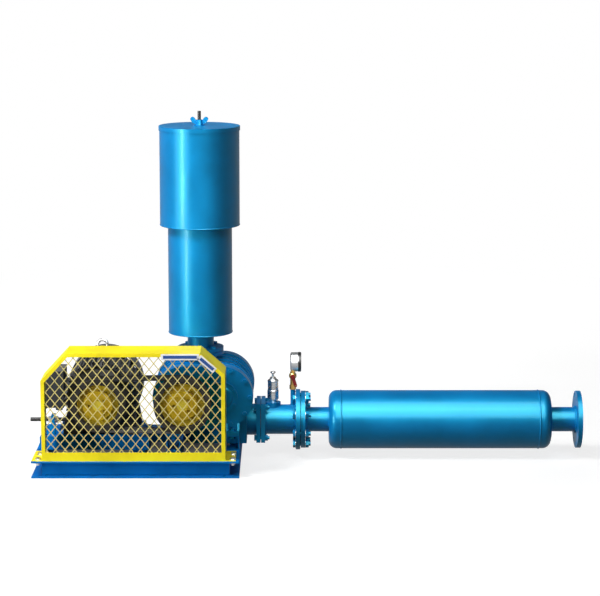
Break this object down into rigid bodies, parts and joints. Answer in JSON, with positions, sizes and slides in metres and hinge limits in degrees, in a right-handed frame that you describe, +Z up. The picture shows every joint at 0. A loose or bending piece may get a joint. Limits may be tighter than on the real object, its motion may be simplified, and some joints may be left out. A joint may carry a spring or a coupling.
{
  "type": "roots blower",
  "caption": "Belt-driven three-lobe blower on a channel base, with motor, belt guard, intake silencer with rain hood, relief valve, gauge and discharge silencer.",
  "frame": {"origin": "centre of the four anchor holes of the base, on the floor", "axes": "+X along the discharge line toward the outlet flange, -Y toward the belt guard, +Z up"},
  "size_m": [1.991, 0.59, 1.26],
  "materials": {
    "blue_paint": "gloss",
    "blue_iron": "painted gloss",
    "zinc": "zinc plated",
    "yellow_paint": "gloss",
    "black_steel": "satin",
    "motor_grey": "painted satin",
    "stator_iron": "laminated",
    "bare_steel": "machined",
    "black_plastic": "matte",
    "pulley_iron": "yellow web with dark rim",
    "belt_rubber": "matte",
    "brass": "machined",
    "packing": "mineral wool",
    "filter_paper": "pleated",
    "gasket_rubber": "matte",
    "chrome": "polished",
    "red_paint": "gloss",
    "gauge_steel": "satin",
    "gauge_glass": "clear"
  },
  "bodies": {
    "root": {"base_long_rails": "blue_paint", "base_short_rails": "blue_paint", "cross_beams": "blue_paint", "blower_pedestals": "blue_paint", "motor_slide_rails": "blue_paint", "tension_bracket": "blue_paint", "tension_nuts": "zinc", "guard_frame": "yellow_paint", "guard_mesh": "yellow_paint", "guard_bolts": "zinc", "v_belts": "belt_rubber", "blower_casing": "blue_iron", "drive_end_plate": "blue_iron", "gear_end_plate": "blue_iron", "bearing_caps": "blue_iron", "gear_case": "blue_iron", "oil_plugs": "brass", "blower_bolts": "blue_iron", "blower_bearings": "bare_steel", "inlet_neck": "blue_paint", "intake_drum": "blue_paint", "intake_packing": "packing", "filter_element": "filter_paper", "filter_hood": "blue_paint", "hood_stud": "zinc", "discharge_pipe": "blue_paint", "gaskets": "gasket_rubber", "flange_bolts": "blue_paint", "relief_body": "chrome", "relief_spring": "bare_steel", "gauge_cock": "brass", "gauge_case": "gauge_steel", "gauge_glass": "gauge_glass", "discharge_silencer": "blue_paint", "silencer_packing": "packing"},
    "motor_carriage": {"motor_slide_plate": "blue_paint", "tension_rod": "black_steel", "motor_frame": "motor_grey", "motor_shields": "motor_grey", "fan_cowl": "motor_grey", "terminal_box": "motor_grey", "terminal_lid": "motor_grey", "lifting_eye": "zinc", "motor_foot_bolts": "zinc", "stator_core": "stator_iron", "motor_bearings": "bare_steel"},
    "motor_rotor": {"motor_shaft": "bare_steel", "cooling_fan": "black_plastic", "motor_pulley": "pulley_iron"},
    "drive_rotor_set": {"drive_rotor": "bare_steel", "drive_gear": "bare_steel", "blower_pulley": "pulley_iron"},
    "driven_rotor_set": {"driven_rotor": "bare_steel", "driven_gear": "bare_steel"},
    "lid": {"hood_lid": "blue_paint"},
    "wing_nut": {"wing_nut": "blue_paint"},
    "relief_disc": {"relief_disc": "brass"},
    "relief_knob": {"relief_knob": "chrome"},
    "cock_lever": {"gauge_cock_lever": "red_paint"},
    "gauge_needle": {"gauge_pointer": "black_plastic"}
  },
  "joints": [
    {"name": "motor_slide", "type": "slide", "parent": "root", "child": "motor_carriage", "axis": [1, 0, 0], "range_m": [0, 0.025], "deforming": ["v_belts"]},
    {"name": "drive_rotor_spin", "type": "hinge", "parent": "root", "child": "drive_rotor_set", "pos_m": [0.164, 0.045, 0.249], "axis": [0, 1, 0], "continuous": true},
    {"name": "motor_spin", "type": "hinge", "parent": "motor_carriage", "child": "motor_rotor", "pos_m": [-0.133, 0.045, 0.249], "axis": [0, 1, 0], "continuous": true},
    {"name": "driven_rotor_spin", "type": "hinge", "parent": "root", "child": "driven_rotor_set", "pos_m": [0.299, 0.045, 0.249], "axis": [0, 1, 0], "continuous": true},
    {"name": "lid_lift", "type": "slide", "parent": "root", "child": "lid", "axis": [0, 0, 1], "range_m": [0, 0.04]},
    {"name": "wing_nut_turn", "type": "hinge", "parent": "lid", "child": "wing_nut", "pos_m": [0.2195, 0.045, 1.22], "axis": [0, 0, 1], "continuous": true},
    {"name": "relief_disc_lift", "type": "slide", "parent": "root", "child": "relief_disc", "axis": [0, 0, 1], "range_m": [0, 0.006], "stiffness_N_per_m": 3000, "springref_m": -0.012, "deforming": ["relief_spring"]},
    {"name": "relief_knob_turn", "type": "hinge", "parent": "root", "child": "relief_knob", "pos_m": [0.481, 0.045, 0.29], "axis": [0, 0, 1], "continuous": true},
    {"name": "cock_lever_turn", "type": "hinge", "parent": "root", "child": "cock_lever", "pos_m": [0.553, 0.045, 0.298], "axis": [0, 1, 0], "range_deg": [-60, 30]},
    {"name": "gauge_needle_turn", "type": "hinge", "parent": "root", "child": "gauge_needle", "pos_m": [0.569, 0.045, 0.349], "axis": [1, 0, 0], "range_deg": [-270, 0], "stiffness_Nm_per_rad": 0.002, "springref_deg": 5.73}
  ],
  "couplings": [
    {"joint": "motor_spin", "follows": "drive_rotor_spin", "ratio": 1.0526},
    {"joint": "driven_rotor_spin", "follows": "drive_rotor_spin", "ratio": -1}
  ]
}
